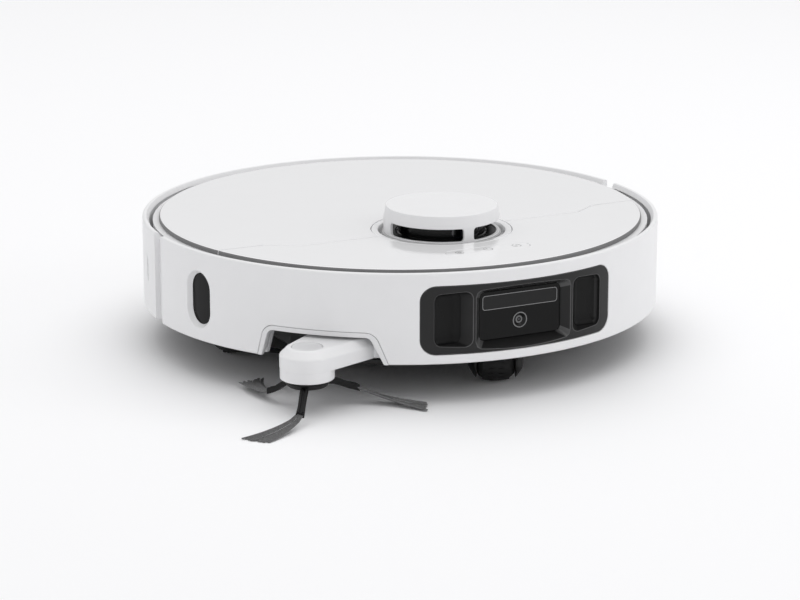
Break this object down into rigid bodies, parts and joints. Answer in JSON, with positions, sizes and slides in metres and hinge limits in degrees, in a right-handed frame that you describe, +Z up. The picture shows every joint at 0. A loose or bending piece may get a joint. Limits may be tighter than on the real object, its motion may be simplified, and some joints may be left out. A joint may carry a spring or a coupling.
{
  "type": "robotic floor cleaner",
  "caption": "Low round vacuuming and mopping robot with a laser turret, sprung bumper, swing-out side brush, roller brush, sprung drive wheels and lifting mop pads.",
  "frame": {"origin": "centre of the flat underside of the chassis, 9.5 mm above the floor that the wheels stand on", "axes": "+Z up through the laser turret side, -Y towards the robot's front with its sensor recess, +X towards the robot's own left"},
  "size_m": [0.3781, 0.3665, 0.1025],
  "materials": {
    "white_shell": "satin moulded",
    "gloss_white": "high gloss",
    "grey_plastic": "fine textured",
    "black_plastic": "fine textured",
    "gloss_black": "polished",
    "rubber": "matt moulded",
    "tyre": "lugged",
    "bristle": "nylon bristles on rubber stems",
    "metal": "satin",
    "contact": "plated",
    "cloth": "short pile microfibre",
    "smoke": "tinted clear, polished",
    "board": "solder mask"
  },
  "bodies": {
    "chassis": {"chassis_base": "black_plastic", "upper_frame": "white_shell", "rear_shell": "white_shell", "front_plate": "gloss_white", "lidar_seat": "white_shell", "lidar_base": "black_plastic", "sensor_window": "gloss_black", "laser_bar": "gloss_black", "camera_lens": "metal", "camera_module": "black_plastic", "arm_motor": "metal", "arm_bay": "black_plastic", "brush_housing": "black_plastic", "brush_guard": "grey_plastic", "brush_motor": "metal", "caster_socket": "metal", "mop_well_left": "black_plastic", "mop_well_right": "black_plastic", "fan_housing": "grey_plastic", "battery_pack": "grey_plastic", "water_tank": "smoke", "main_board": "board", "cliff_sensor_front_left": "smoke", "cliff_sensor_front_right": "smoke", "cliff_sensor_side_left": "smoke", "cliff_sensor_side_right": "smoke", "carpet_sensor": "metal", "charging_contact_left": "contact", "charging_contact_right": "contact"},
    "bumper": {"bumper": "white_shell", "sensor_bezel": "gloss_black", "side_sensor_window": "gloss_black"},
    "turret_cap": {"turret_cap": "white_shell"},
    "lidar_head": {"lidar_head": "gloss_black"},
    "button_strip": {"button_strip": "gloss_white"},
    "top_lid": {"top_lid": "gloss_white"},
    "dust_bin": {"dust_bin": "smoke", "dust_filter": "cloth"},
    "brush_arm": {"side_brush_arm": "white_shell", "arm_cap": "white_shell"},
    "side_brush": {"side_brush": "bristle"},
    "main_brush": {"main_brush": "rubber"},
    "wheel_arm_left": {"drive_unit_left": "grey_plastic"},
    "wheel_arm_right": {"drive_unit_right": "grey_plastic"},
    "drive_wheel_left": {"drive_rim_left": "grey_plastic", "drive_tyre_left": "tyre"},
    "drive_wheel_right": {"drive_rim_right": "grey_plastic", "drive_tyre_right": "tyre"},
    "caster_swivel": {"caster_fork": "black_plastic"},
    "caster_wheel": {"caster_wheel": "rubber"},
    "mop_lift_left": {"mop_motor_left": "grey_plastic"},
    "mop_lift_right": {"mop_motor_right": "grey_plastic"},
    "mop_left": {"mop_shaft_left": "metal", "mop_disc_left": "grey_plastic", "mop_pad_left": "cloth"},
    "mop_right": {"mop_shaft_right": "metal", "mop_disc_right": "grey_plastic", "mop_pad_right": "cloth"},
    "fan_impeller": {"fan_impeller": "grey_plastic"}
  },
  "joints": [
    {"name": "bumper_press", "type": "slide", "parent": "chassis", "child": "bumper", "axis": [0, 1, 0], "range_m": [0, 0.004], "stiffness_N_per_m": 400, "springref_m": -0.002},
    {"name": "cap_press", "type": "slide", "parent": "chassis", "child": "turret_cap", "axis": [0, 0, -1], "range_m": [0, 0.0015], "stiffness_N_per_m": 800, "springref_m": -0.0008},
    {"name": "lidar_spin", "type": "hinge", "parent": "chassis", "child": "lidar_head", "pos_m": [0, -0.06, 0.078], "axis": [0, 0, 1], "continuous": true},
    {"name": "button_press", "type": "slide", "parent": "chassis", "child": "button_strip", "axis": [0, 0, -1], "range_m": [0, 0.0006], "stiffness_N_per_m": 1500, "springref_m": -0.0004},
    {"name": "lid_lift", "type": "slide", "parent": "chassis", "child": "top_lid", "axis": [0, 0, 1], "range_m": [0, 0.12]},
    {"name": "bin_lift", "type": "slide", "parent": "chassis", "child": "dust_bin", "axis": [0, 0, 1], "range_m": [0, 0.06]},
    {"name": "arm_swing", "type": "hinge", "parent": "chassis", "child": "brush_arm", "pos_m": [-0.07, -0.137, 0.025], "axis": [0, 0, -1], "range_deg": [0, 44]},
    {"name": "side_brush_spin", "type": "hinge", "parent": "brush_arm", "child": "side_brush", "pos_m": [-0.1364, -0.1378, 0.009], "axis": [0, 0, 1], "continuous": true},
    {"name": "main_brush_spin", "type": "hinge", "parent": "chassis", "child": "main_brush", "pos_m": [0, -0.05, 0.0145], "axis": [1, 0, 0], "continuous": true},
    {"name": "suspension_left", "type": "hinge", "parent": "chassis", "child": "wheel_arm_left", "pos_m": [0.099, -0.038, 0.02], "axis": [-1, 0, 0], "range_deg": [0, 18], "stiffness_Nm_per_rad": 0.6, "springref_deg": 28.65},
    {"name": "suspension_right", "type": "hinge", "parent": "chassis", "child": "wheel_arm_right", "pos_m": [-0.099, -0.038, 0.02], "axis": [-1, 0, 0], "range_deg": [0, 18], "stiffness_Nm_per_rad": 0.6, "springref_deg": 28.65},
    {"name": "wheel_spin_left", "type": "hinge", "parent": "wheel_arm_left", "child": "drive_wheel_left", "pos_m": [0.12, 0.009, 0.0255], "axis": [1, 0, 0], "continuous": true},
    {"name": "wheel_spin_right", "type": "hinge", "parent": "wheel_arm_right", "child": "drive_wheel_right", "pos_m": [-0.12, 0.009, 0.0255], "axis": [1, 0, 0], "continuous": true},
    {"name": "caster_turn", "type": "hinge", "parent": "chassis", "child": "caster_swivel", "pos_m": [0, -0.135, 0.02], "axis": [0, 0, 1], "continuous": true},
    {"name": "caster_roll", "type": "hinge", "parent": "caster_swivel", "child": "caster_wheel", "pos_m": [0, -0.135, 0.005], "axis": [0.8886, -0.4587, 0], "continuous": true},
    {"name": "mop_lift_left", "type": "slide", "parent": "chassis", "child": "mop_lift_left", "axis": [0, 0, 1], "range_m": [0, 0.0105]},
    {"name": "mop_lift_right", "type": "slide", "parent": "chassis", "child": "mop_lift_right", "axis": [0, 0, 1], "range_m": [0, 0.0105]},
    {"name": "mop_spin_left", "type": "hinge", "parent": "mop_lift_left", "child": "mop_left", "pos_m": [0.066, 0.088, 0], "axis": [0, 0, 1], "continuous": true},
    {"name": "mop_spin_right", "type": "hinge", "parent": "mop_lift_right", "child": "mop_right", "pos_m": [-0.066, 0.088, 0], "axis": [0, 0, 1], "continuous": true},
    {"name": "fan_spin", "type": "hinge", "parent": "chassis", "child": "fan_impeller", "pos_m": [-0.077, 0.04, 0.048], "axis": [0, 0, 1], "continuous": true}
  ],
  "couplings": [
    {"joint": "bin_lift", "follows": "lid_lift", "ratio": 0.5},
    {"joint": "mop_lift_right", "follows": "mop_lift_left", "ratio": 1},
    {"joint": "mop_spin_right", "follows": "mop_spin_left", "ratio": -1}
  ]
}
